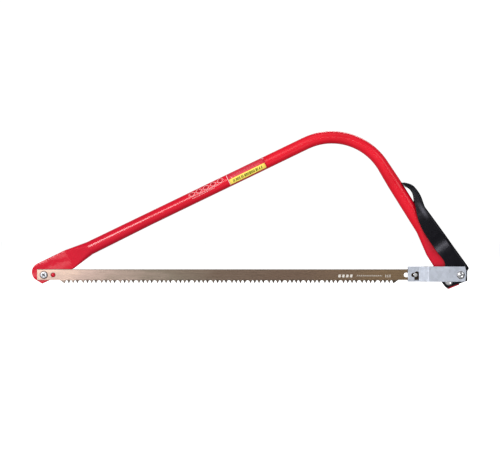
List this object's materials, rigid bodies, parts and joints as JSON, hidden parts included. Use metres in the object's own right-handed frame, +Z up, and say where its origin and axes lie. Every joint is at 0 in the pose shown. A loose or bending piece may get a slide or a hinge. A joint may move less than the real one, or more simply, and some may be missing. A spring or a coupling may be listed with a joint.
{
  "type": "bow saw",
  "caption": "Bow saw with a triangular pointed-nose tube frame, a thin toothed blade and an over-centre lever with a hooked link that tensions it.",
  "frame": {"origin": "under the middle of the saw's box, level with its lowest point, in the plane of the blade", "axes": "+X along the blade from the nose to the handle, +Z up with the teeth down, +Y away from the side with the sticker and the screw's head"},
  "size_m": [0.6275, 0.0246, 0.2269],
  "materials": {
    "red_paint": "gloss red enamel on steel tube",
    "label_film": "glossy printed film sticker, red with a plain yellow band",
    "blade_steel": "hardened steel under a thin bronze-tinted lacquer",
    "zinc_bright": "bright zinc plate",
    "link_zinc": "pale bluish zinc plate on a stamping",
    "rivet_steel": "polished domed rivet",
    "bush_steel": "plain turned steel",
    "black_coat": "satin black coating on stamped steel"
  },
  "bodies": {
    "frame": {"frame_tube": "red_paint", "label": "label_film", "blade": "blade_steel", "nose_screw": "zinc_bright", "nose_washer": "zinc_bright", "nose_nut": "zinc_bright", "blade_pin": "zinc_bright", "pivot_bush": "bush_steel"},
    "lever": {"lever": "black_coat", "pivot_rivet": "rivet_steel"},
    "link": {"link": "link_zinc", "link_rivet": "rivet_steel", "link_spacers": "bush_steel"}
  },
  "joints": [
    {"name": "lever_pivot", "type": "hinge", "parent": "frame", "child": "lever", "pos_m": [0.28443, 0, 0.01099], "axis": [0, 1, 0], "range_deg": [0, 90]},
    {"name": "link_pivot", "type": "hinge", "parent": "lever", "child": "link", "pos_m": [0.30123, 0, 0.02029], "axis": [0, 1, 0], "range_deg": [-66, 0]}
  ],
  "couplings": [
    {"joint": "link_pivot", "follows": "lever_pivot", "ratio": -0.728}
  ]
}
